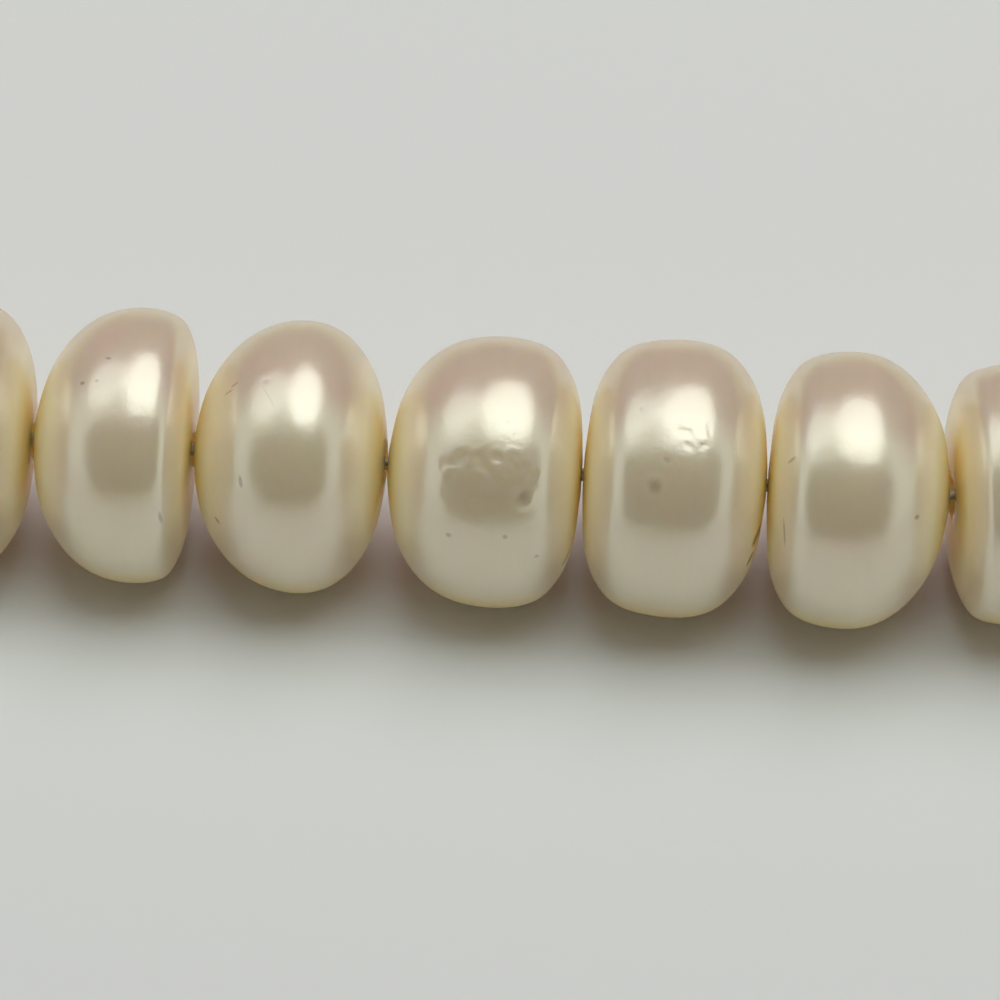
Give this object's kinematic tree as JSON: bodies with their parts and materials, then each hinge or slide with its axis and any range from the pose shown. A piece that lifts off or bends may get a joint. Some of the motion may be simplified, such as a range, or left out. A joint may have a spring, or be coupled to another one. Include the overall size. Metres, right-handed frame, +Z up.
{
  "type": "pearl bracelet",
  "caption": "Single-strand bracelet of button-shaped pearls threaded face to face on silk, lying as one long closed loop, with a plain silver box clasp at the back.",
  "frame": {"origin": "middle of the bracelet's footprint, on the surface that it lies on", "axes": "+Z up, +X along the long way of the loop and along the front stretch of pearls, +Y from the front stretch to the clasp at the back"},
  "size_m": [0.078, 0.0512, 0.0076],
  "materials": {
    "nacre": "gloss",
    "silk": "matte",
    "silver": "gloss"
  },
  "bodies": {
    "root": {"pearl_01": "nacre", "pearl_02": "nacre", "pearl_03": "nacre", "pearl_04": "nacre", "pearl_05": "nacre", "pearl_06": "nacre", "pearl_07": "nacre", "pearl_08": "nacre", "pearl_09": "nacre", "pearl_10": "nacre", "pearl_11": "nacre", "pearl_12": "nacre", "pearl_13": "nacre", "pearl_14": "nacre", "pearl_15": "nacre", "pearl_16": "nacre", "pearl_17": "nacre", "pearl_18": "nacre", "pearl_19": "nacre", "pearl_20": "nacre", "pearl_21": "nacre", "pearl_22": "nacre", "pearl_23": "nacre", "pearl_24": "nacre", "pearl_25": "nacre", "pearl_26": "nacre", "pearl_27": "nacre", "pearl_28": "nacre", "pearl_29": "nacre", "pearl_30": "nacre", "pearl_31": "nacre", "pearl_32": "nacre", "pearl_33": "nacre", "pearl_34": "nacre", "pearl_35": "nacre", "thread": "silk", "clasp": "silver"}
  },
  "joints": []
}
